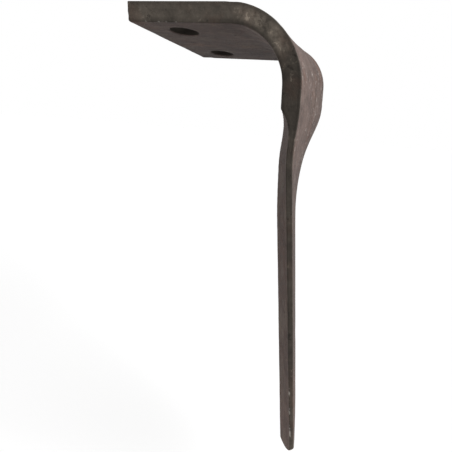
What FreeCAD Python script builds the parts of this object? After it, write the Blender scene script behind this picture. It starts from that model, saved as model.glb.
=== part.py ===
import FreeCAD, Part
import math
import os

# Power harrow tine, forged from one flat bar. Sizes are in millimetres and degrees.
# Origin: midway between the two bolt holes, on the top face of the flange.
# +Z is up, +X runs from the free end of the flange to the blade, and -Y is the leading side.

# flat bar
bar_width = 100.0
bar_thickness = 11.5
edge_round = 0.8

# flange and its two bolt holes, which lie on a line along Y
flange_reach = 27.0
hole_spacing = 60.0
hole_diameter = 17.0
hole_rim = 0.5
end_round = 1.6

# bend: its outside radius shrinks from the leading side to the trailing side,
# and below its leading side the shank stays straight for a little before the blade begins
shank_offset = 83.0
shank_lean = 1.2
bend_radius_leading = 45.0
bend_radius_middle = 42.5
bend_radius_trailing = 33.0
shank_straight = 1.0

# blade, with depths measured down from the top face of the flange
overall_height = 303.0
blade_lean = 5.2
blade_joggle = 8.5
joggle_start = 54.0
joggle_end = 93.0
blade_twist = 9.4
twist_end = 130.0
blade_width_top = 56.5
blade_width_tip = 39.5
neck_end = 142.0
neck_haste = 0.8

# bevel ground along the inner leading corner, leaving a narrow land as the leading face
bevel_start = 56.0
bevel_full = 80.0
bevel_depth = 19.0
bevel_land_top = 3.9
bevel_land_tip = 2.9

# rounded tip: how far its ends stand above its lowest point
tip_rise_leading = 10.5
tip_rise_trailing = 18.5

# spacing of the sections the blade is drawn through, and how far tools reach past the metal
section_step = 8.0
bevel_step = 4.0
overrun = 12.0

half_width = bar_width / 2
hole_radius = hole_diameter / 2
joint_depth = bend_radius_leading + shank_straight
lean = math.radians(shank_lean)
shank_thickness = bar_thickness / math.cos(lean)


def between(value, start, end):
    """Share of the way from start to end, from 0 to 1, at an even rate."""
    return min(1.0, max(0.0, (value - start) / (end - start)))


def ease(value, start, end):
    """Share of the way from start to end, from 0 to 1, with a level start and finish."""
    share = between(value, start, end)
    return share * share * (3 - 2 * share)


def outer_x(depth):
    """X of the outer leading edge at a depth."""
    shank = shank_offset + depth * math.tan(lean)
    blade = shank_offset - blade_joggle + depth * math.tan(math.radians(blade_lean))
    return shank + (blade - shank) * ease(depth, joggle_start, joggle_end)


def twist(depth):
    """Turn of the blade about its leading edge at a depth, in radians."""
    return math.radians(blade_twist) * ease(depth, joint_depth, twist_end)


def width(depth):
    """Width of the blade at a depth."""
    below_joint = (depth - joint_depth) / (overall_height - joint_depth)
    tapered = blade_width_top + (blade_width_tip - blade_width_top) * below_joint
    share = between(depth, joint_depth, neck_end) ** neck_haste
    return bar_width + (tapered - bar_width) * ease(share, 0, 1)


def blade_point(depth, back, inward):
    """Point of the blade: its depth, its distance back from the leading edge and in from the outer face."""
    angle = twist(depth)
    x = outer_x(depth) - inward * math.cos(angle) - back * math.sin(angle)
    y = -half_width + back * math.cos(angle) - inward * math.sin(angle)
    return FreeCAD.Vector(x, y, -depth)


def side_outline(y, radius):
    """Outline of the flange, the bend and the top of the shank, in the plane at y."""
    turn = math.pi / 2 - lean
    inner_radius = radius - bar_thickness
    centre_x = shank_offset - radius * (1 - math.sin(lean)) / math.cos(lean)

    def on_arc(r, angle):
        return FreeCAD.Vector(centre_x + r * math.sin(angle), y, -radius + r * math.cos(angle))

    outer_foot = FreeCAD.Vector(outer_x(joint_depth), y, -joint_depth)
    inner_foot = outer_foot - FreeCAD.Vector(shank_thickness, 0, 0)
    end_top = FreeCAD.Vector(-flange_reach, y, 0)
    end_centre = FreeCAD.Vector(end_round - flange_reach, y, end_round - bar_thickness)
    end_angles = [math.pi, math.pi * 5 / 4, math.pi * 3 / 2]
    end_arc = [end_centre + FreeCAD.Vector(math.cos(a), 0, math.sin(a)) * end_round for a in end_angles]
    outer_arc = [on_arc(radius, turn * share) for share in (0, 0.5, 1)]
    inner_arc = [on_arc(inner_radius, turn * share) for share in (1, 0.5, 0)]
    return Part.Wire([
        Part.makeLine(end_top, outer_arc[0]),
        Part.Arc(*outer_arc).toShape(),
        Part.makeLine(outer_arc[2], outer_foot),
        Part.makeLine(outer_foot, inner_foot),
        Part.makeLine(inner_foot, inner_arc[0]),
        Part.Arc(*inner_arc).toShape(),
        Part.makeLine(inner_arc[2], end_arc[2]),
        Part.Arc(*reversed(end_arc)).toShape(),
        Part.makeLine(end_arc[0], end_top),
    ])


def closed_solid(faces):
    """Solid inside faces that meet along their edges."""
    shell = Part.makeShell(faces)
    shell.sewShape()
    solid = Part.Solid(Part.Shell(shell.Faces))
    if solid.Volume < 0:
        solid.reverse()
    return solid


def on_true_plane(face):
    """Same face, on a true plane where it is flat, as the seat on the tine holder has to be."""
    plane = face.findPlane()
    return Part.Face(plane, face.OuterWire) if plane else face


def flange_and_bend():
    """Flat flange and conical bend, down to the joint with the blade."""
    radii = [bend_radius_leading, bend_radius_middle, bend_radius_trailing]
    outlines = [side_outline(half_width * side, radius) for side, radius in zip((-1, 0, 1), radii)]
    lofted = Part.makeLoft(outlines, True, False)
    return closed_solid([on_true_plane(face) for face in lofted.Faces])


def corner_edge(corner, top, bottom, step):
    """Smooth edge that one corner of a section draws; corner gives back and inward at a depth."""
    count = math.ceil((bottom - top) / step)
    depths = [top + (bottom - top) * k / count for k in range(count + 1)]
    curve = Part.BSplineCurve()
    curve.interpolate(Points=[blade_point(depth, *corner(depth)) for depth in depths], Parameters=depths)
    return curve.toShape()


def swept_solid(corners, top, bottom, step):
    """Solid whose straight-sided section runs along the blade from one depth to another."""
    edges = [corner_edge(corner, top, bottom, step) for corner in corners]
    faces = [Part.makeRuledSurface(edges[k - 1], edges[k]) for k in range(len(edges))]
    for depth in (top, bottom):
        points = [blade_point(depth, *corner(depth)) for corner in corners]
        faces.append(Part.Face(Part.makePolygon(points + points[:1])))
    return closed_solid(faces)


def blade():
    """Blade from the joint down past the tip, narrowed, joggled and twisted on the way."""
    corners = [
        lambda depth: (0, 0),
        lambda depth: (width(depth), 0),
        lambda depth: (width(depth), shank_thickness),
        lambda depth: (0, shank_thickness),
    ]
    return swept_solid(corners, joint_depth, overall_height + overrun, section_step)


def bevel_cutter():
    """Metal ground off the inner leading corner; it runs in quickly below the bend."""

    def cut_line(depth, back):
        land = bevel_land_top + (bevel_land_tip - bevel_land_top) * between(depth, bevel_full, overall_height)
        left = 1 - min(1.0, (depth - bevel_start) / (bevel_full - bevel_start))
        fall = (shank_thickness - land) * (1 - left ** 3)
        return shank_thickness - fall + back * (shank_thickness - land) / bevel_depth

    far = bevel_depth + overrun
    corners = [
        lambda depth: (-overrun, cut_line(depth, -overrun)),
        lambda depth: (far, cut_line(depth, far)),
        lambda depth: (-overrun, cut_line(depth, far)),
    ]
    run_out = bevel_step / 2
    return swept_solid(corners, bevel_start - run_out, overall_height + 2 * overrun, bevel_step)


def lowest_back(across):
    """How far back one circle through both ends of the tip is lowest."""
    rate = 1 / tip_rise_leading - 1 / tip_rise_trailing
    half_slope = across / tip_rise_trailing
    level = across ** 2 / tip_rise_trailing + tip_rise_trailing - tip_rise_leading
    return level / (half_slope + math.sqrt(half_slope ** 2 + rate * level))


def tip_cutter():
    """Everything below the rounded end of the blade."""
    leading_depth = overall_height - tip_rise_leading
    trailing_depth = overall_height - tip_rise_trailing
    across = width(trailing_depth)
    lowest = lowest_back(across)
    past_tip = overall_height + 2 * overrun

    def at(back, depth):
        return blade_point(depth, back, -overrun)

    arc = Part.Arc(at(0, leading_depth), at(lowest, overall_height), at(across, trailing_depth))
    sides = Part.makePolygon([
        at(across, trailing_depth),
        at(across + overrun, trailing_depth),
        at(across + overrun, past_tip),
        at(-overrun, past_tip),
        at(-overrun, leading_depth),
        at(0, leading_depth),
    ])
    outline = Part.Wire([arc.toShape()] + sides.Edges)
    through = blade_point(past_tip, 0, shank_thickness + overrun) - blade_point(past_tip, 0, -overrun)
    return Part.Face(outline).extrude(through)


def bolt_hole(y):
    """Bolt hole through the flange, with a small chamfer at each rim."""
    down = FreeCAD.Vector(0, 0, -1)
    bore = Part.makeCylinder(hole_radius, bar_thickness, FreeCAD.Vector(0, y, 0), down)
    top_rim = Part.makeCone(hole_radius + hole_rim, hole_radius, hole_rim, FreeCAD.Vector(0, y, 0), down)
    rim_start = FreeCAD.Vector(0, y, hole_rim - bar_thickness)
    bottom_rim = Part.makeCone(hole_radius, hole_radius + hole_rim, hole_rim, rim_start, down)
    return bore.fuse([top_rim, bottom_rim])


def is_sharp(shape, edge):
    """True where the two faces beside an edge meet at a real corner, not at a smooth seam."""
    middle = edge.valueAt((edge.FirstParameter + edge.LastParameter) / 2)
    normals = []
    for face in shape.ancestorsOfType(edge, Part.Face):
        normals.append(face.normalAt(*face.Surface.parameter(middle)))
    return len(normals) == 2 and normals[0].getAngle(normals[1]) > math.pi / 4


def rounded(bar):
    """Bar with its long corners and the corners of its flange end rounded."""
    corners = [e for e in bar.Edges if e.BoundBox.ZMax > -overall_height and is_sharp(bar, e)]
    return bar.makeFillet(edge_round, corners)


def make_tine():
    """The whole forging."""
    tine = rounded(flange_and_bend().fuse(blade()))
    holes = [bolt_hole(side * hole_spacing / 2) for side in (-1, 1)]
    return tine.cut(holes + [bevel_cutter(), tip_cutter()]).Solids[0]


tine = make_tine()
os.makedirs("parts", exist_ok=True)
tine.exportStep("parts/tine.step")
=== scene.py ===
import math
from types import SimpleNamespace

import bpy
import numpy as np
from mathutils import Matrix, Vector


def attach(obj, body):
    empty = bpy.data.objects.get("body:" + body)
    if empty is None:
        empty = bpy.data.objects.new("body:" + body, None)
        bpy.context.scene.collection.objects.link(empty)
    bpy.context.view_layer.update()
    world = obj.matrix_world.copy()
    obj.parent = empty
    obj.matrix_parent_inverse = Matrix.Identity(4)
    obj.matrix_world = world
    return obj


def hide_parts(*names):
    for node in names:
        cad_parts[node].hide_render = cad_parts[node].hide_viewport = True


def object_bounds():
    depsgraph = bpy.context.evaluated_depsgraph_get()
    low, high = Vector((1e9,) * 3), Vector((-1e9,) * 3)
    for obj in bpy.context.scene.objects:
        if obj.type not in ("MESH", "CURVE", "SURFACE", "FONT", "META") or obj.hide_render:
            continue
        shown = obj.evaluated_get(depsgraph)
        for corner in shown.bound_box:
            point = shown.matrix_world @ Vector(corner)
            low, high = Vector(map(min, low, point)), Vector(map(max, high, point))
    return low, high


bl_info = {
    "name": "Power Harrow Tine",
    "version": (1, 0, 0),
    "blender": (4, 5, 0),
    "location": "3D View > Sidebar > Tine",
    "description": "Forges a power harrow tine, gives it its scale and wear, and sets it on a pale stage",
    "category": "Add Mesh",
}

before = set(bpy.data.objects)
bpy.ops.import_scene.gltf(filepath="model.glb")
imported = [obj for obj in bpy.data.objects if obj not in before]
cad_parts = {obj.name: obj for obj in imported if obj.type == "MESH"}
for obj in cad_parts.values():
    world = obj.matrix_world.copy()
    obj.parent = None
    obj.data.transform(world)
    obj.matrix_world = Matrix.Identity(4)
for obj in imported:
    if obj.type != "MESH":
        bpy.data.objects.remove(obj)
CAD_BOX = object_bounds()
LOWEST = CAD_BOX[0]

# Lengths here are in metres.
# Half-sizes of the square of lattice that a bolt hole takes out, and of the square that is drawn in round it.
HOLE_BLOCK, HOLE_PATCH = 0.006, 0.015
# How quickly the bar draws in to the blade: below 1, more of it happens at the top of the neck.
NECK_HASTE = 0.8
# How far in from the outer face the tip is worn, and how steeply that wear fades.
WEAR_REACH, WEAR_FADE = 0.0034, 1.4
# Radius of the corner beside the ground bevel.
GROUND_ROUND = 0.0005
# Stations between which the inner leading corner swells to its upset radius, and between which it goes back.
UPSET_STARTS, UPSET_ENDS = (1.0, 1.2), (1.8, 2.02)
# Distances from the flange's end between which its rounding gives way to that of the bar.
END_FADES = (0.004, 0.016)
# How far the finish of a corner, of a narrow side and of the bevel's crease reaches over the faces beside it.
CORNER_REACH, SIDE_REACH, CREASE_REACH = 0.0035, 0.0012, 0.0015
# Distances from a bolt hole between which the ring round it fades.
SEAT_FADES = (0.002, 0.006)
# Lattice lines above the tip, counted in edge roundings, and the least gap in station above the first one.
TIP_LINES, TIP_GAP = (2.2, 1.6, 1.2, 0.9, 0.6, 0.3, 0.0), 0.004
# How many times the metal left holds the outer line of the lattice, and how many times a corner's radius.
LEAST_LINES, LEAST_RADII = 2.6, 2.2
# How near to a side of the lattice a point still lies on it, and the least number that is divided by.
ON_SIDE, TINY = 1e-6, 1e-9
# Waves that make the forging uneven, each as its shortest and longest wave, how many there are, and a seed.
SWELLS, DENTS, KNOCKS = ((0.018, 0.060), 24, 3), ((0.006, 0.014), 30, 4), ((0.007, 0.022), 40, 5)


# ---------------------------------------------------------------- sizes and finishes

def length(name, description, default):
    """A length in metres that a user may change."""
    return bpy.props.FloatProperty(
        name=name, description=description, default=default, unit="LENGTH", precision=5)


def angle(name, description, degrees):
    """An angle that a user may change, kept in radians."""
    return bpy.props.FloatProperty(
        name=name, description=description, default=math.radians(degrees), subtype="ANGLE")


def colour(name, description, default):
    """A linear colour that a user may change."""
    return bpy.props.FloatVectorProperty(
        name=name, description=description, default=default, size=3, min=0, max=1, subtype="COLOR")


def amount(name, description, default, most=1.0, subtype="NONE"):
    """A number from 0 that a user may change."""
    return bpy.props.FloatProperty(
        name=name, description=description, default=default, min=0, max=most, subtype=subtype)


class TineSizes(bpy.types.PropertyGroup):
    """Sizes of the forging. The main ones are those of the solid model, so the two lie on each other."""

    bar_width: length("Bar width", "Width of the flat bar", 0.100)
    bar_thickness: length("Bar thickness", "Thickness of the flat bar", 0.0115)
    edge_round: length("Edge rounding", "Radius of the rolled corners of the bar", 0.0008)
    upset_round: length("Upset rounding", "Radius of the upset leading corner inside the bend", 0.0018)
    flange_reach: length("Flange reach", "From the bolt holes to the free end of the flange", -LOWEST.x)
    hole_spacing: length("Hole spacing", "Distance between the two bolt holes", 0.060)
    hole_radius: length("Hole radius", "Radius of a bolt hole", 0.0085)
    hole_rim: length("Hole rim", "Width of the worn rim of a bolt hole", 0.0005)
    hole_flare: length("Hole flare", "How far a bolt hole widens under the flange", 0.0008)
    flare_height: length("Flare height", "How high the flare of a bolt hole reaches", 0.0040)
    end_round: length("End rounding", "Radius of the lower corner of the flange's end", 0.0016)
    shank_offset: length("Shank offset", "From the bolt holes to the outer face of the shank", 0.083)
    shank_lean: angle("Shank lean", "Outward lean of the shank", 1.2)
    bend_leading: length("Leading bend radius", "Outer radius of the bend on the leading side", 0.045)
    bend_middle: length("Middle bend radius", "Outer radius of the bend in the middle", 0.0425)
    bend_trailing: length("Trailing bend radius", "Outer radius of the bend on the trailing side", 0.033)
    overall_height: length("Overall height", "From the flange's top face to the tip", -LOWEST.z)
    blade_lean: angle("Blade lean", "Outward lean of the blade", 5.2)
    blade_joggle: length("Blade joggle", "Inward step from the shank to the blade", 0.0085)
    joggle_start: length("Joggle start", "Depth where the joggle starts", 0.054)
    joggle_end: length("Joggle end", "Depth where the joggle ends", 0.093)
    blade_twist: angle("Blade twist", "Turn of the blade about its leading edge", 9.4)
    twist_start: length("Twist start", "Depth where the twist and the taper start", 0.046)
    twist_end: length("Twist end", "Depth where the twist ends", 0.130)
    width_top: length("Upper blade width", "Width of the blade, carried up to where the taper starts", 0.0565)
    width_tip: length("Lower blade width", "Width of the blade at the tip", 0.0395)
    neck_end: length("Neck end", "Depth where the bar has drawn in to the blade", 0.142)
    bevel_start: length("Bevel start", "Depth where the ground bevel starts", 0.056)
    bevel_full: length("Bevel full", "Depth where the bevel has its full section", 0.080)
    bevel_depth: length("Bevel depth", "How far back the bevel reaches", 0.019)
    land_top: length("Upper land", "Width of the narrow leading face at its top", 0.0039)
    land_tip: length("Lower land", "Width of the narrow leading face at the tip", 0.0029)
    rise_leading: length("Leading rise", "Height of the tip's leading end above its lowest point", 0.0105)
    rise_trailing: length("Trailing rise", "Height of the tip's trailing end above its lowest point", 0.0185)
    tip_wear: length("Tip wear", "How far the outer edge of the tip is worn up", 0.0022)
    unevenness: length("Unevenness", "Depth of the hammered waviness of the faces", 0.00016)
    chipping: length("Chipping", "Depth of the knocks along the corners", 0.0003)


class TineFinish(bpy.types.PropertyGroup):
    """Colours of the scale, the worn steel and the dust."""

    flat_scale: colour("Face scale", "Mill scale on the wide faces", (0.086, 0.061, 0.053))
    edge_scale: colour("Edge scale", "Greener mill scale on the narrow rolled faces", (0.065, 0.055, 0.045))
    rust: colour("Rust", "Thin rust in patches of the scale and on the bevel", (0.086, 0.044, 0.031))
    dust: colour("Dust", "Pale dust where the scale has flaked", (0.340, 0.284, 0.227))
    chip: colour("Chip", "Fresh chips in the scale of the outer face", (0.380, 0.342, 0.317))
    bare: colour("Bare steel", "Steel rubbed bare along the corners", (0.440, 0.410, 0.370))
    # Painted shade: near black on the bore walls, for the shade inside the bolt holes
    bore_shade: colour("Soot", "Black oxide inside the bolt holes", (0.026, 0.021, 0.017))


class StageLook(bpy.types.PropertyGroup):
    """Floor, light and camera of the stage."""

    floor: colour("Floor", "Colour of the floor", (0.50, 0.50, 0.50))
    floor_lift: amount("Floor lift", "How far the floor is lifted towards white in the view", 0.615)
    floor_gap: length("Floor gap", "Height of the tip above the floor", 0.060)
    ambient: amount("Ambient light", "Strength of the light from all around", 0.355, 4)
    key_strength: amount("Key light", "Strength of the main light on the outer side", 3.5, 100)
    key_softness: angle("Key softness", "Width of the main light as the tine sees it", 32)
    key_from: bpy.props.FloatVectorProperty(
        name="Key from", description="Where the main light comes from",
        default=(0.62, -0.09, 0.27), subtype="DIRECTION")
    fill_power: amount("Fill lamp", "Power of the lamp before the leading side", 1.15, 100, "POWER")
    lens: amount("Lens", "Focal length of the camera", 26.383, 200, "DISTANCE_CAMERA")
    camera_place: bpy.props.FloatVectorProperty(
        name="Camera place", description="Where the camera stands",
        default=(0.12137, -0.24330, -0.06700), unit="LENGTH", precision=5)
    camera_turn: bpy.props.FloatVectorProperty(
        name="Camera turn", description="How the camera is turned",
        default=[math.radians(part) for part in (76.834, -4.582, 12.959)], subtype="EULER")
    camera_shift: bpy.props.FloatVectorProperty(
        name="Camera shift", description="Sideways and upward shift of the lens, in frame widths",
        default=(-0.1327, -0.0442), size=2)


# ---------------------------------------------------------------- shape of the bar

def between(value, start, end):
    """Share of the way from start to end, held from 0 to 1."""
    return np.clip((value - start) / (end - start), 0, 1)


def ease(value, start, end):
    """Share of the way from start to end, 3k^2 - 2k^3, level at both ends."""
    share = between(value, start, end)
    return share * share * (3 - 2 * share)


def mixed(first, second, share):
    """first at share 0, second at share 1, straight between them."""
    return first + (second - first) * share


def outer_x(size, depth):
    """X of the outer leading edge: the shank's line, eased into the blade's line over the joggle."""
    shank = size.shank_offset + depth * math.tan(size.shank_lean)
    blade = size.shank_offset - size.blade_joggle + depth * math.tan(size.blade_lean)
    return mixed(shank, blade, ease(depth, size.joggle_start, size.joggle_end))


def blade_width(size, depth):
    """Width at a depth: the bar's width, eased into the straight taper of the blade over the neck."""
    below = (depth - size.twist_start) / (size.overall_height - size.twist_start)
    taper = mixed(size.width_top, size.width_tip, below)
    drawn = between(depth, size.twist_start, size.neck_end) ** NECK_HASTE
    return mixed(size.bar_width, taper, ease(drawn, 0, 1))


def bend_radius(size, share):
    """Outer radius of the bend: the parabola through its leading, middle and trailing values."""
    slope = 4 * size.bend_middle - 3 * size.bend_leading - size.bend_trailing
    curve = 2 * size.bend_leading + 2 * size.bend_trailing - 4 * size.bend_middle
    return size.bend_leading + slope * share + curve * share * share


def bend_centre(size, radius):
    """X of the bend's axis, so that the shank's outer face starts where the shank's line says."""
    return size.shank_offset - radius * (1 - math.sin(size.shank_lean)) / math.cos(size.shank_lean)


def flange_length(size):
    """Length of the flat flange on its leading side, from its free end to the bend."""
    return bend_centre(size, size.bend_leading) + size.flange_reach


def tip_depth(size, back, across):
    """Depth of the rounded end at a distance back: one circle through the tip's two ends and lowest point."""
    rate = 1 / size.rise_leading - 1 / size.rise_trailing
    half = across / size.rise_trailing
    level = across ** 2 / size.rise_trailing + size.rise_trailing - size.rise_leading
    lowest = level / (half + math.sqrt(half ** 2 + rate * level))
    radius = (lowest ** 2 + size.rise_leading ** 2) / (2 * size.rise_leading)
    aside = np.clip(back - lowest, -radius, radius)
    return size.overall_height - radius + np.sqrt(radius ** 2 - aside ** 2)


def local_thickness(size, depth, back):
    """Thickness left by the bevel: its plane falls to the land at the leading edge, and runs in steeply at
    its top."""
    full = size.bar_thickness
    land = mixed(size.land_top, size.land_tip, between(depth, size.bevel_full, size.overall_height))
    left = 1 - between(depth, size.bevel_start, size.bevel_full)
    fall = (full - land) * (1 - left ** 3)
    return np.minimum(full, full - fall + back * (full - land) / size.bevel_depth)


def flange_point(size, station, share, inward):
    """Flange: straight along X, and stretched beyond the bolt holes to the line where the bend starts."""
    leading = bend_centre(size, size.bend_leading)
    centre = bend_centre(size, bend_radius(size, share))
    straight = mixed(-size.flange_reach, leading, station)
    x = straight + (centre - leading) * between(straight, HOLE_PATCH, leading)
    return x, share * size.bar_width - size.bar_width / 2, -inward


def bend_point(size, station, share, inward):
    """Bend: a circle in the plane across Y, whose radius depends on share."""
    radius = bend_radius(size, share)
    arm = radius - inward
    sweep = np.clip(station - 1, 0, 1) * (math.pi / 2 - size.shank_lean)
    x = bend_centre(size, radius) + arm * np.sin(sweep)
    return x, share * size.bar_width - size.bar_width / 2, -radius + arm * np.cos(sweep)


def blade_point(size, station, share, inward):
    """Shank and blade: from the bend's foot to the rounded tip along the leading edge's line, with the
    section turned about that edge by the twist. Wear lifts the tip towards the outer face."""
    radius = bend_radius(size, share)
    foot = radius - (radius - inward) * math.sin(size.shank_lean)
    tip_across = blade_width(size, size.overall_height - size.rise_trailing)
    worn = size.tip_wear * (1 - between(inward, 0, WEAR_REACH)) ** WEAR_FADE
    end = tip_depth(size, share * tip_across, tip_across) - worn
    depth = mixed(foot, end, np.maximum(station - 2, 0))
    back = share * blade_width(size, depth)
    deep = inward / math.cos(size.shank_lean)
    turned = size.blade_twist * ease(depth, size.twist_start, size.twist_end)
    x = outer_x(size, depth) - deep * np.cos(turned) - back * np.sin(turned)
    y = back * np.cos(turned) - deep * np.sin(turned) - size.bar_width / 2
    return x, y, -depth


def bar_point(size, station, share, inward):
    """Point of the bent bar. Station runs 0 to 1 along the flange, 1 to 2 round the bend and 2 to 3 down to
    the tip; share runs across from the leading edge, and inward is the distance in from the outer face."""
    stretches = [make(size, station, share, inward) for make in (flange_point, bend_point, blade_point)]
    on_flange, on_bend = station < 1, station < 2
    return np.stack([np.where(on_flange, f, np.where(on_bend, b, d)) for f, b, d in zip(*stretches)], -1)


def along_of(size, station, share):
    """Length along the bar's outer face for a station: the flange, then the bend's arc, then the blade."""
    radius = bend_radius(size, share)
    flange = size.shank_offset - radius + size.flange_reach
    arc = radius * (math.pi / 2 - size.shank_lean)
    on_bend = flange + (station - 1) * arc
    on_blade = flange + arc + (station - 2) * (size.overall_height - radius)
    return np.where(station < 1, station * flange, np.where(station < 2, on_bend, on_blade))


# ---------------------------------------------------------------- lattice of the forging

def runs(*stretches):
    """Lattice lines of stretches that are each a start, an end and a number of steps. A stretch's own end is
    left to what follows it."""
    return np.concatenate([np.linspace(start, end, steps, endpoint=False) for start, end, steps in stretches])


def corner_lines(total, fine):
    """Lattice lines from 0 to total that crowd towards both ends, where the corners are rounded."""
    crowded = 2.2 * fine
    near = runs((0, fine, 4), (fine, crowded, 2))
    middle = np.linspace(crowded, total - crowded, 5)
    return np.concatenate([near, middle, total - near[::-1]])


def hole_lines():
    """Lines across one bolt hole: 17 that meet its rim at equal angles, and 6 on each side of them."""
    rim = HOLE_BLOCK * np.tan(np.linspace(-math.pi / 4, math.pi / 4, 17))
    side = np.linspace(HOLE_BLOCK, HOLE_PATCH, 7)[1:]
    return np.concatenate([-side[::-1], rim, side])


def lattice_lines(size):
    """Station, share and inward lines of the box lattice that the forging is drawn on."""
    fine, reach, bar = size.edge_round, size.flange_reach, size.bar_width
    half = size.hole_spacing / 2
    hole = hole_lines()

    end = runs((0, 2 * fine, 8), (2 * fine, reach - HOLE_PATCH, 8)) - reach
    rest = np.linspace(HOLE_PATCH, bend_centre(size, size.bend_leading), 17)[1:-1]
    flange = (np.concatenate([end, hole, rest]) + reach) / flange_length(size)
    bend = 1 + np.linspace(0, 1, 50)[:-1]
    tip = 1 - np.array(TIP_LINES) * fine / (size.overall_height - size.bend_leading)
    down = np.linspace(0, 1, 185)[:-1]
    blade = 2 + np.concatenate([down[down < tip[0] - TIP_GAP], tip])

    edge = runs((0, fine, 4), (fine, (bar - size.hole_spacing) / 2 - HOLE_PATCH, 4))
    gap = np.linspace(HOLE_PATCH - half, half - HOLE_PATCH, 19)[1:-1]
    ys = np.concatenate([edge - bar / 2, hole - half, gap, hole + half, bar / 2 - edge[::-1]])
    return np.concatenate([flange, bend, blade]), ys / bar + 0.5, corner_lines(size.bar_thickness, fine)


def surface_quads(counts, blocks):
    """Quads of the box lattice's six sides and of the bores, as lattice indices. A block is the part of the
    top and bottom that a bore takes out. Every quad is given so that it faces outwards."""
    n, m, k = counts
    i, j, l = np.arange(n), np.arange(m), np.arange(k)

    def grid(a, b, build, flip):
        """Quads of one grid; build turns the two grid coordinates into lattice indices."""
        u, v = np.meshgrid(a[:-1], b[:-1], indexing="ij")
        ring = [build(u, v), build(u + 1, v), build(u + 1, v + 1), build(u, v + 1)]
        ring = [np.stack(np.broadcast_arrays(*corner), -1).reshape(-1, 3) for corner in ring]
        return np.stack(ring[::-1] if flip else ring, 1)

    def pierced(quads):
        """Quads that no bore takes out."""
        x, y, _ = quads.mean(1).T
        taken = [(x > i0) & (x < i1) & (y > j0) & (y < j1) for i0, i1, j0, j1 in blocks]
        return quads[~np.any(taken, axis=0)]

    quads = [
        pierced(grid(i, j, lambda u, v: (u, v, 0), False)),
        pierced(grid(i, j, lambda u, v: (u, v, k - 1), True)),
        grid(i, l, lambda u, v: (u, 0, v), True),
        grid(i, l, lambda u, v: (u, m - 1, v), False),
        grid(j, l, lambda u, v: (0, u, v), False),
        grid(j, l, lambda u, v: (n - 1, u, v), True),
    ]
    for i0, i1, j0, j1 in blocks:
        lengthwise, across = np.arange(i0, i1 + 1), np.arange(j0, j1 + 1)
        quads += [
            grid(lengthwise, l, lambda u, v: (u, j0, v), False),
            grid(lengthwise, l, lambda u, v: (u, j1, v), True),
            grid(across, l, lambda u, v: (i0, u, v), True),
            grid(across, l, lambda u, v: (i1, u, v), False),
        ]
    return np.concatenate(quads)


def warped(size, x, y, inward):
    """Pulls the square lattice round each bolt hole onto a circle. A point on the square ring of half-size c
    goes straight between the circle, where c is the hole's block, and the square itself, where c is the
    outer ring. The circle is wider at both rims, and flares towards the inner face."""
    full = size.bar_thickness
    rim = size.hole_rim * (1 - between(np.minimum(inward, full - inward), 0, size.hole_rim))
    rim = rim + size.hole_flare * between(inward, full - size.flare_height, full) ** 2
    for side in (-1, 1):
        u, v = x, y - side * size.hole_spacing / 2
        ring = np.maximum(np.maximum(np.abs(u), np.abs(v)), ON_SIDE)
        far = np.maximum(np.hypot(u, v), ON_SIDE)
        share = between(ring, HOLE_BLOCK, HOLE_PATCH)
        scale = mixed((size.hole_radius + rim) / far, HOLE_PATCH / ring, share)
        scale = np.where(ring < HOLE_PATCH, scale, 1)
        x, y = u * scale, v * scale + side * size.hole_spacing / 2
    return x, y


def corner_radius(size, station, share, inward, ground):
    """Radius of the nearest corner: the rolled bar's, larger inside the bend and under the flange's end, and
    smaller beside the ground bevel."""
    inner = inward > size.bar_thickness / 2
    inner_leading = inner & (share < 0.5)
    radius = np.full(station.shape, float(size.edge_round))
    radius = np.where(inner_leading, mixed(radius, GROUND_ROUND, ground), radius)
    upset = ease(station, *UPSET_STARTS) * (1 - ease(station, *UPSET_ENDS))
    radius = np.where(inner_leading, mixed(radius, size.upset_round, upset), radius)
    from_end = ease(station * flange_length(size), *END_FADES)
    return np.where(inner & (station < 1), mixed(size.end_round, radius, from_end), radius)


def squeezed(size, inward, left):
    """Distance in from the outer face once the bevel has left less metal: the lines by the two corners keep
    their spacing while there is room, and those between them share what is left."""
    full, fine = size.bar_thickness, size.edge_round
    edge = np.minimum(fine, left / LEAST_LINES)
    by_outer = np.minimum(inward, edge * inward / fine)
    by_inner = left - np.minimum(full - inward, edge * (full - inward) / fine)
    middle = mixed(edge, left - edge, between(inward, fine, full - fine))
    return np.where(inward < fine, by_outer, np.where(full - inward < fine, by_inner, middle))


def rounded(point, wide, left, radius):
    """Rounds a box's corners: the point is held inside the box shrunk by the radius, then set one radius from
    there towards where it was."""
    held = [
        np.maximum(point[0], radius),
        np.clip(point[1], radius, wide - radius),
        np.clip(point[2], radius, left - radius),
    ]
    offset = [p - h for p, h in zip(point, held)]
    reach = np.maximum(np.sqrt(sum(o * o for o in offset)), TINY)
    return [h + o * radius / reach for h, o in zip(held, offset)]


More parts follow.
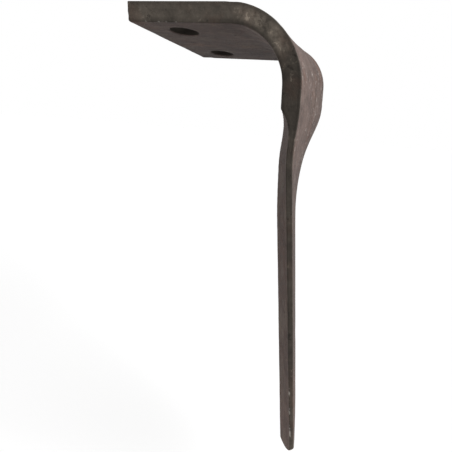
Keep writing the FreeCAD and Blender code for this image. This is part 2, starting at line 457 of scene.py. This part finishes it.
def shaped(size, station, share, inward):
    """Lattice points in metres, with the corners rounded, the bevel taken off and the bores drawn in, and
    their zones from 0 to 1: near a corner, on a narrow side, and on the ground bevel."""
    full = size.bar_thickness
    blade = size.overall_height - size.bend_leading
    straight = flange_length(size)
    depth = np.where(station > 2, -bar_point(size, np.maximum(station, 2), share, inward)[..., 2], 0)
    wide = np.where(depth > size.twist_start, blade_width(size, depth), size.bar_width)
    back = share * wide
    left = np.where(depth > size.bevel_start, local_thickness(size, depth, back), full)
    ground = ease(depth, size.bevel_start, size.bevel_full)
    inside = squeezed(size, inward, left)
    radius = np.minimum(corner_radius(size, station, share, inward, ground), left / LEAST_RADII)

    on_side = np.zeros(station.shape, bool)
    for value, last in ((station, 3), (share, 1), (inward, full)):
        on_side |= (value < ON_SIDE) | (value > last - ON_SIDE)
    start, finish = station * straight, (3 - station) * blade
    point = [np.minimum(start, finish), back, inside]
    placed = [np.where(on_side, r, p) for r, p in zip(rounded(point, wide, left, radius), point)]
    shift = placed[0] - point[0]
    station = np.where(start < finish, station + shift / straight, station - shift / blade)

    position = bar_point(size, station, placed[1] / wide, placed[2])
    x, y = warped(size, position[..., 0], position[..., 1], placed[2])
    position[..., 0] = np.where(station < 1, x, position[..., 0])
    position[..., 1] = np.where(station < 1, y, position[..., 1])

    corner = 1 - between(np.minimum(back, wide - back) + np.minimum(inside, left - inside), 0, CORNER_REACH)
    side = np.maximum(1 - between(back, 0, SIDE_REACH), 1 - between(wide - back, 0, SIDE_REACH))
    beyond = between(back, size.bevel_depth - CREASE_REACH, size.bevel_depth + CREASE_REACH)
    cut = ground * (inward > full / 2) * (1 - beyond)
    return position, np.stack([corner, side, cut], -1)


def ripple(points, wavelengths, count, seed):
    """Smooth unevenness around 0: waves of even strength in random directions, added up."""
    random = np.random.default_rng(seed)
    total = np.zeros(len(points))
    for _ in range(count):
        direction = random.normal(size=3)
        direction *= 2 * math.pi / random.uniform(*wavelengths) / np.linalg.norm(direction)
        total += np.sin(points @ direction + random.uniform(0, 2 * math.pi))
    return total / math.sqrt(count)


def new_mesh(name, points, quads):
    """Mesh of quads from whole arrays."""
    mesh = bpy.data.meshes.new(name)
    mesh.vertices.add(len(points))
    mesh.vertices.foreach_set("co", points.astype(np.float32).ravel())
    mesh.loops.add(quads.size)
    mesh.loops.foreach_set("vertex_index", quads.astype(np.int32).ravel())
    mesh.polygons.add(len(quads))
    mesh.polygons.foreach_set("loop_start", np.arange(0, quads.size, 4, dtype=np.int32))
    mesh.update(calc_edges=True)
    mesh.validate()
    mesh.shade_smooth()
    return mesh


def hammered(size, mesh, points, corner):
    """Points sunk along their normals: waves over the faces, less near the corners, and knocks at the
    corners. Nothing is raised, so the forging stays inside its solid model's box."""
    normals = np.zeros(len(points) * 3, np.float32)
    mesh.vertex_normals.foreach_get("vector", normals)
    normals = normals.reshape(-1, 3).astype(float)
    waves = ripple(points, *SWELLS) * 0.35 + ripple(points, *DENTS) * 0.12
    sink = size.unevenness * np.clip(0.5 + waves, 0, 1) * (1 - 0.7 * corner)
    knocks = np.clip(ripple(points, *KNOCKS) - 0.8, 0, 1)
    sink += size.chipping * knocks * corner
    return points - normals * sink[:, None]


def bore_zones(size, points, inward):
    """Zones by the bolt holes, from 0 to 1: the wall of a bore, and the ring round it that a bolt head or nut
    rests on."""
    far = np.hypot(points[:, 0], np.abs(points[:, 1]) - size.hole_spacing / 2) - size.hole_radius
    below_rim = np.minimum(inward, size.bar_thickness - inward) > size.hole_rim
    wall = (far < size.hole_rim + size.hole_flare) & below_rim
    return np.stack([wall, 1 - between(far, *SEAT_FADES), np.zeros(len(far))], -1)


def forge(size):
    """The forging: a box lattice drawn along the bar, with two bores, then hammered uneven and chipped."""
    stations, shares, inwards = lattice_lines(size)
    across_hole = np.array([-HOLE_BLOCK, HOLE_BLOCK]) - ON_SIDE
    hole_i = np.searchsorted(stations, (size.flange_reach + across_hole) / flange_length(size))
    blocks = []
    for side in (-1, 1):
        middle = side * size.hole_spacing / 2
        hole_j = np.searchsorted(shares, (middle + across_hole) / size.bar_width + 0.5)
        blocks.append((*hole_i, *hole_j))

    counts = (len(stations), len(shares), len(inwards))
    quads = surface_quads(counts, blocks)
    used, index = np.unique(np.ravel_multi_index(np.moveaxis(quads, -1, 0), counts), return_inverse=True)
    i, j, l = np.unravel_index(used, counts)
    station, share, inward = stations[i], shares[j], inwards[l]
    points, zones = shaped(size, station, share, inward)
    mesh = new_mesh("forging", points, index.reshape(quads.shape[:2]))
    points = hammered(size, mesh, points, zones[:, 0])
    mesh.vertices.foreach_set("co", points.astype(np.float32).ravel())
    mesh.update()

    narrowed = blade_width(size, np.maximum(-points[:, 2], size.twist_start))
    width = np.where(station > 2, narrowed, size.bar_width)
    place = np.stack([along_of(size, station, share), share * width, inward], -1)
    bores = bore_zones(size, points, inward)
    for name, values in (("place", place), ("zones", zones), ("bores", bores)):
        attribute = mesh.attributes.new(name, "FLOAT_VECTOR", "POINT")
        attribute.data.foreach_set("vector", values.astype(np.float32).ravel())
    return mesh


# ---------------------------------------------------------------- nodes

class Wire:
    """A node's output in sums: adding, taking away or multiplying it adds Math nodes."""

    def __init__(self, nodes, socket):
        self.nodes, self.socket = nodes, socket

    def sum(self, operation, first, second):
        """New Math node on two values."""
        return self.nodes.add("ShaderNodeMath", {"operation": operation}, {0: first, 1: second})

    def __add__(self, other):
        return self.sum("ADD", self, other)

    def __sub__(self, other):
        return self.sum("SUBTRACT", self, other)

    def __rsub__(self, other):
        return self.sum("SUBTRACT", other, self)

    def __mul__(self, other):
        return self.sum("MULTIPLY", self, other)

    __radd__, __rmul__ = __add__, __mul__

    def most(self, other):
        """The larger of the two."""
        return self.sum("MAXIMUM", self, other)


class Nodes:
    """Adds nodes to one node tree."""

    def __init__(self, tree):
        self.tree = tree

    def add(self, kind, settings=None, sockets=None, out=0):
        """New node of a kind with its settings, then its sockets' values or links; gives one output."""
        node = self.tree.nodes.new(kind)
        for name, value in (settings or {}).items():
            setattr(node, name, value)
        for name, value in (sockets or {}).items():
            if isinstance(value, Wire):
                self.tree.links.new(value.socket, node.inputs[name])
            else:
                node.inputs[name].default_value = value
        return Wire(self, node.outputs[out]) if node.outputs else None

    def attribute(self, name):
        """A vector that the mesh carries."""
        return self.add("ShaderNodeAttribute", {"attribute_name": name}, None, "Vector")

    def parts(self, vector):
        """The three parts of a vector."""
        whole = self.add("ShaderNodeSeparateXYZ", None, {0: vector})
        return [Wire(self, output) for output in whole.socket.node.outputs]

    def noise(self, vector, scale, detail=2.0, roughness=0.5, distortion=0.0):
        """Fractal noise from 0 to 1 at a scale, in features for each metre."""
        return self.add("ShaderNodeTexNoise", None, {
            "Vector": vector,
            "Scale": scale,
            "Detail": detail,
            "Roughness": roughness,
            "Distortion": distortion,
        })

    def drawn_out(self, place, by, detail, roughness):
        """Fractal noise drawn out along the bar, in features for each metre along, back and inward."""
        stretched = self.add("ShaderNodeVectorMath", {"operation": "MULTIPLY"}, {0: place, 1: by})
        return self.noise(stretched, 1, detail, roughness)

    def step(self, value, low, high):
        """0 below low, 1 above high, smooth between."""
        sockets = {"Value": value, "From Min": low, "From Max": high}
        return self.add("ShaderNodeMapRange", {"interpolation_type": "SMOOTHSTEP"}, sockets)

    def mixed(self, share, first, second):
        """first where share is 0, second where it is 1."""
        first, second = [c if isinstance(c, Wire) else (*c, 1) for c in (first, second)]
        return self.add("ShaderNodeMix", {"data_type": "RGBA"}, {0: share, 6: first, 7: second}, 2)


def new_material(name):
    """Empty material with its node tree."""
    material = bpy.data.materials.new(name)
    material.use_nodes = True
    material.node_tree.nodes.clear()
    return material, Nodes(material.node_tree)


# ---------------------------------------------------------------- finish of the steel

def steel_zones(n, size):
    """Masks from 0 to 1 for the parts of the tine, from what its mesh carries: lengths along, back and inward
    on the bar, and the zones of its corners and bores."""
    at = SimpleNamespace(place=n.attribute("place"))
    at.corner, at.side, ground = n.parts(n.attribute("zones"))
    at.wall, at.seat, _ = n.parts(n.attribute("bores"))
    along, back, inward = n.parts(at.place)

    thick = size.bar_thickness
    flange = size.shank_offset - size.bend_leading + size.flange_reach
    bend_end = flange + size.bend_leading * math.pi / 2
    tip = bend_end + size.overall_height - size.bend_leading

    def past(first, last):
        """0 up to the first distance past the end of the bend, 1 from the last one on."""
        return n.step(along, bend_end + first, bend_end + last)

    # lengthwise
    at.off_end = n.step(along, flange - 0.030, flange)
    at.low_bend = past(-0.030, -0.014)
    at.on_bend = n.step(along, flange, flange + 0.016) * (1 - past(-0.030, -0.018))
    at.on_shank = at.low_bend * (1 - past(0.012, 0.034))
    at.down_neck = past(0, 0.09)
    at.down_blade = past(0.03, 0.12)
    at.near_tip = n.step(along, tip - 0.10, tip - 0.02)

    # across and through
    at.middle = n.step(inward, 0.0008, 0.0034) * (1 - n.step(inward, thick - 0.0042, thick - 0.0012))
    at.outer = (1 - n.step(inward, 0.0002, 0.0012)) * n.step(back, 0.001, 0.004)
    at.outer_back = n.step(back, 0.04, 0.08)
    # Painted shade: the inner face darkens towards the trailing side, standing in for the shade on the far
    # underside
    at.inner_back = n.step(inward, thick - 0.0012, thick - 0.0002) * (1 - at.side) * n.step(back, 0.03, 0.09)
    at.ridge = n.step(inward, thick * 0.80, thick * 0.97) * (1 - n.step(back, 0.0005, 0.0016))
    at.cut = ground * (1 - at.side)

    # where the scale comes off most
    at.dusty = at.on_bend * at.side * at.middle
    at.chipped = at.outer * past(-0.030, -0.015) * (1 - past(0.040, 0.080))
    return at


def steel_noises(n, place):
    """Noises from broad patches down to grain, and three that are drawn out along the bar."""
    spot = n.add("ShaderNodeTexCoord", None, None, "Object")
    return SimpleNamespace(
        broad=n.noise(spot, 16, 3, 0.55),
        scratch_patches=n.noise(spot, 30),
        rust=n.noise(spot, 45, 5, 0.6),
        flake_patches=n.noise(spot, 48),
        cloud=n.noise(spot, 70, 4, 0.6, 0.3),
        rubs=n.noise(spot, 150, 4, 0.7),
        pits=n.noise(spot, 170, 3, 0.6),
        mottle=n.noise(spot, 230, 5, 0.7, 0.4),
        flakes=n.noise(spot, 230, 4, 0.7),
        grain=n.noise(spot, 1100, 3, 0.6),
        film=n.drawn_out(place, (40, 110, 110), 5, 0.7),
        streaks=n.drawn_out(place, (34, 330, 330), 4, 0.62),
        scratches=n.drawn_out(place, (40, 1600, 1600), 3, 0.6),
    )


def scale_colour(n, look, at, noise, pits):
    """Sound scale: greener on the narrow sides, redder in patches and on the bevel, and lighter or darker
    from place to place, by a mask and the share that it changes at each. The outer face also gets a painted
    lift for the key light on it, and painted shade lower down it and on the far underside."""
    scale = n.mixed(n.step(at.side * 0.85 + noise.broad * 0.5, 0.25, 0.95), look.flat_scale, look.edge_scale)
    rusty = n.step(noise.rust, 0.50, 0.70) * (0.6 - at.side * 0.3)
    scale = n.mixed(rusty.most(at.cut * 0.5), scale, look.rust)

    uneven = noise.mottle * 1.4 + noise.cloud * 1.3 + noise.streaks * 0.7 + noise.broad * 0.4 - 1.9
    # The outer face's lift by 0.13 is painted light, standing in for the key light on that side
    shade = (1.06 + uneven * (1 + at.outer * 0.20)) * (1 + at.outer * 0.13)
    changes = (
        (at.side * (1 - at.low_bend), 0.36),
        (at.side * at.on_shank, -0.24),
        (at.side * n.step(at.corner, 0.15, 0.75), -0.22),
        (at.side, -0.08),
        (at.near_tip, 0.38),
        (at.cut * (0.40 - at.down_blade * 0.22), -1),
        (pits, -0.35),
        # painted shade on the far underside
        (at.inner_back, -0.34),
        # Painted shade: the outer face darkens down the neck, for the key light falling off lower down; it is
        # also darker towards its trailing side
        (at.outer * (at.down_neck * 0.46 + at.outer_back * 0.20), -1),
    )
    for mask, change in changes:
        shade = shade * (1 + mask * change)
    return n.add("ShaderNodeVectorMath", {"operation": "SCALE"}, {0: scale, 3: shade.most(0.25)})


def forged_steel(look, size):
    """Mill scale on forged steel: mauve brown on the wide faces, greener on the rolled edges, flaked and
    dusty round the bend, rubbed bare along the corners towards the tip, with painted shade, near black, on
    the walls of the bores."""
    material, n = new_material("forged_steel")
    at = steel_zones(n, size)
    noise = steel_noises(n, at.place)
    pits = 1 - n.step(noise.pits, 0.30, 0.37)

    dust = at.dusty * n.step(noise.mottle * 0.75 + noise.cloud * 0.4, 0.44, 0.72)
    film = n.step(noise.film, 0.46, 0.66) * (1 - at.side) * (0.17 - at.outer * 0.09)
    tint = n.mixed(film.most(dust * 0.33), scale_colour(n, look, at, noise, pits), look.dust)

    flakes = n.step(noise.flakes + at.chipped * 0.02 + at.seat * 0.05 + at.dusty * 0.04, 0.60, 0.67)
    flakes = flakes * n.step(noise.flake_patches + at.seat * 0.10 + at.chipped * 0.06, 0.46, 0.64)
    flakes = flakes * (0.24 + at.dusty * 0.42 + at.chipped * 0.70 + at.seat * 0.10)
    scratches = n.step(noise.scratches, 0.63, 0.72) * n.step(noise.scratch_patches, 0.42, 0.62)
    scratches = scratches * (0.25 + at.outer * 0.20)
    tint = n.mixed(flakes.most(scratches), tint, n.mixed(at.outer, look.dust, look.chip))

    ridge_wear = at.ridge * (at.near_tip + 0.6 - at.off_end * 0.6)
    rubbed = n.step(at.corner * 0.20 + ridge_wear * 0.22 + noise.rubs * 1.1, 0.93, 1.10)
    rubbed = rubbed * n.step(at.corner, 0.45, 0.9)
    tint = n.mixed(rubbed * 0.6, tint, look.bare)
    # painted shade, near black, on the walls of the bores
    tint = n.mixed(at.wall, tint, look.bore_shade)

    height = noise.grain * 0.35 + noise.mottle * 0.9 + noise.cloud * 0.7 + noise.streaks * 0.25
    height = height - flakes * 0.6 - pits * 0.7
    bump = n.add("ShaderNodeBump", None, {"Strength": 0.6, "Distance": 0.0007, "Height": height})
    shader = n.add("ShaderNodeBsdfPrincipled", None, {
        "Base Color": tint,
        "Metallic": rubbed * 0.6,
        "Roughness": 0.58 + noise.mottle * 0.22 - rubbed * 0.16 + flakes * 0.15 - at.cut * 0.08,
        "Specular IOR Level": 0.12,
        "Normal": bump,
    })
    n.add("ShaderNodeOutputMaterial", None, {"Surface": shader})
    return material


# ---------------------------------------------------------------- stage

def in_view(n):
    """1 for rays from the camera, and for those that it sees in gloss or through glass."""
    rays = n.add("ShaderNodeLightPath").socket.node.outputs
    camera, glossy, glass = [
        Wire(n, rays[name]) for name in ("Is Camera Ray", "Is Glossy Ray", "Is Transmission Ray")]
    return camera.most(glossy).most(glass)


def floor_paint(stage):
    """Pale floor that keeps its shadow and is lifted to the backdrop's white where the view looks at it."""
    material, n = new_material("pale_floor")
    paint = n.add("ShaderNodeBsdfDiffuse", None, {"Color": (*stage.floor, 1)})
    glow = n.add("ShaderNodeEmission", None, {"Color": (1, 1, 1, 1), "Strength": stage.floor_lift})
    lifted = n.add("ShaderNodeAddShader", None, {0: paint, 1: glow})
    both = n.add("ShaderNodeMixShader", None, {0: in_view(n), 1: paint, 2: lifted})
    n.add("ShaderNodeOutputMaterial", None, {"Surface": both})
    return material


def studio(stage):
    """White world that lights the tine only as much as the ambient light says."""
    world = bpy.data.worlds.new("studio")
    world.use_nodes = True
    world.node_tree.nodes.clear()
    n = Nodes(world.node_tree)
    light = n.add("ShaderNodeBackground", None, {"Color": (1, 1, 1, 1), "Strength": stage.ambient})
    backdrop = n.add("ShaderNodeBackground", None, {"Color": (1, 1, 1, 1), "Strength": 1.0})
    both = n.add("ShaderNodeMixShader", None, {0: in_view(n), 1: light, 2: backdrop})
    n.add("ShaderNodeOutputWorld", None, {"Surface": both})
    return world


def placed(name, data):
    """New object in the scene."""
    thing = bpy.data.objects.new(name, data)
    bpy.context.scene.collection.objects.link(thing)
    return thing


def pale_floor(stage, level, reach=12.0):
    """Square floor at a level, as far to each side as its reach."""
    corners = [(-reach, -reach, level), (reach, -reach, level), (reach, reach, level), (-reach, reach, level)]
    mesh = bpy.data.meshes.new("floor")
    mesh.from_pydata(corners, [], [(0, 1, 2, 3)])
    mesh.materials.append(floor_paint(stage))
    return placed("floor", mesh)


def key_light(stage):
    """Main light, soft and far off, so that the floor is lit evenly."""
    lamp = bpy.data.lights.new("key", "SUN")
    lamp.energy, lamp.angle = stage.key_strength, stage.key_softness
    placed("key", lamp).rotation_euler = Vector(stage.key_from).to_track_quat("Z", "Y").to_euler()


def fill_lamp(stage, place=(0.05, -0.85, 0.12), target=(0.05, 0, -0.1), width=0.5):
    """Square soft lamp before the leading side, turned to the tine."""
    lamp = bpy.data.lights.new("fill", "AREA")
    lamp.shape, lamp.size, lamp.energy = "SQUARE", width, stage.fill_power
    holder = placed("fill", lamp)
    holder.location = place
    holder.rotation_euler = (Vector(target) - Vector(place)).to_track_quat("-Z", "Y").to_euler()


def view_camera(stage):
    """Camera a short way from the leading side, a little below the flange."""
    lens = bpy.data.cameras.new("camera")
    lens.sensor_width, lens.lens = 36, stage.lens
    lens.shift_x, lens.shift_y = stage.camera_shift
    lens.clip_start, lens.clip_end = 0.01, 50
    camera = placed("camera", lens)
    camera.location, camera.rotation_euler = stage.camera_place, stage.camera_turn
    return camera


# ---------------------------------------------------------------- operators

class TINE_OT_forging(bpy.types.Operator):
    """Forge the tine in one piece and give it its scale, flakes and wear"""

    bl_idname = "tine.forging"
    bl_label = "Forge the Tine"

    def execute(self, context):
        size, look = context.scene.tine_sizes, context.scene.tine_finish
        piece = placed("tine_forging", forge(size))
        piece.data.materials.append(forged_steel(look, size))
        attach(piece, "root")
        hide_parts("tine")
        return {"FINISHED"}


class TINE_OT_stage(bpy.types.Operator):
    """Set the pale floor, the soft light and the camera"""

    bl_idname = "tine.stage"
    bl_label = "Set the Stage"

    def execute(self, context):
        scene, stage = context.scene, context.scene.tine_stage
        floor = pale_floor(stage, -scene.tine_sizes.overall_height - stage.floor_gap)
        scene.world = studio(stage)
        key_light(stage)
        fill_lamp(stage)
        scene.camera = view_camera(stage)
        scene.view_settings.view_transform = "Standard"
        return {"FINISHED"}


class TINE_PT_panel(bpy.types.Panel):
    """Steps that build the tine, with its sizes and colours"""

    bl_idname = "TINE_PT_panel"
    bl_label = "Power Harrow Tine"
    bl_space_type = "VIEW_3D"
    bl_region_type = "UI"
    bl_category = "Tine"

    def draw(self, context):
        for operator in (TINE_OT_forging, TINE_OT_stage):
            self.layout.operator(operator.bl_idname)
        for group in (context.scene.tine_sizes, context.scene.tine_finish, context.scene.tine_stage):
            box = self.layout.box()
            for name in group.__annotations__:
                box.prop(group, name)


CLASSES = (TineSizes, TineFinish, StageLook, TINE_OT_forging, TINE_OT_stage, TINE_PT_panel)


def register():
    for kind in CLASSES:
        bpy.utils.register_class(kind)
    bpy.types.Scene.tine_sizes = bpy.props.PointerProperty(type=TineSizes)
    bpy.types.Scene.tine_finish = bpy.props.PointerProperty(type=TineFinish)
    bpy.types.Scene.tine_stage = bpy.props.PointerProperty(type=StageLook)


def unregister():
    del bpy.types.Scene.tine_stage, bpy.types.Scene.tine_finish, bpy.types.Scene.tine_sizes
    for kind in reversed(CLASSES):
        bpy.utils.unregister_class(kind)


def main():
    register()
    bpy.ops.tine.forging()
    bpy.ops.tine.stage()


if __name__ == "__main__":
    main()
